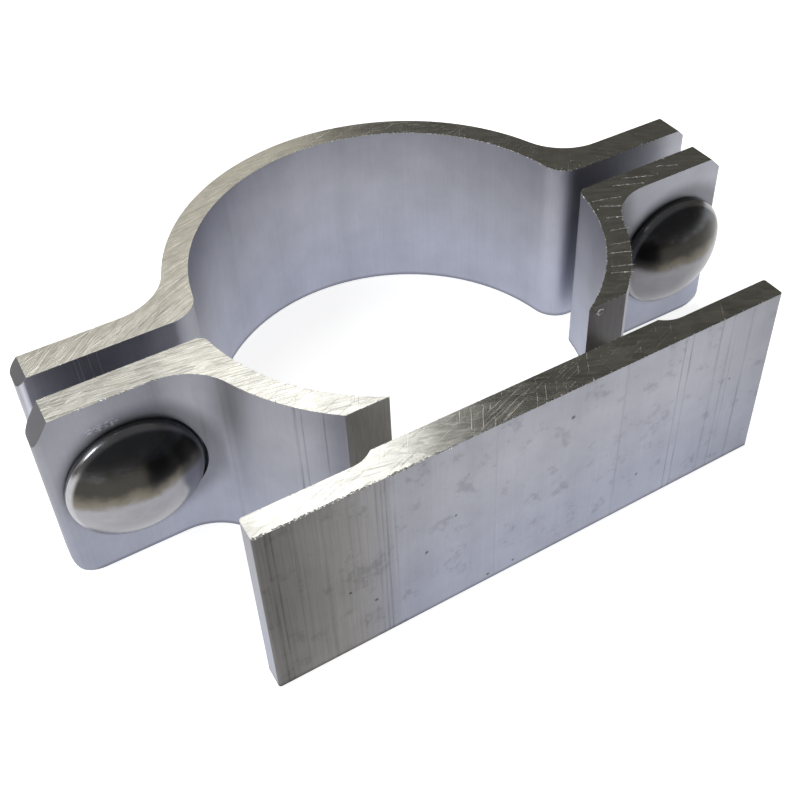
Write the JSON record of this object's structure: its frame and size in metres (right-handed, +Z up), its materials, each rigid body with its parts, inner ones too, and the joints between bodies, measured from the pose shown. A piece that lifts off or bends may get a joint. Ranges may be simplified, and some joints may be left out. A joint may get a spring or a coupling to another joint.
{
  "type": "clamp bracket",
  "caption": "Two-part aluminium clamp bracket that grips a round sign post with two domed bolts and carries a flat plate that slides into a sign's rail",
  "frame": {"origin": "on the post's axis, level with the bracket's base", "axes": "+Z up along the post, +X along the ears and the plate, +Y from the plate to the rear strap"},
  "size_m": [0.1125, 0.0715, 0.03],
  "materials": {
    "aluminium": "bare extruded faces with die lines, saw-cut ends",
    "bolt_steel": "plain stainless steel, polished domes"
  },
  "bodies": {
    "root": {"front_clamp": "aluminium", "rear_clamp": "aluminium", "bolt_left": "bolt_steel", "bolt_right": "bolt_steel", "washer_left": "bolt_steel", "washer_right": "bolt_steel", "nut_left": "bolt_steel", "nut_right": "bolt_steel"}
  },
  "joints": []
}
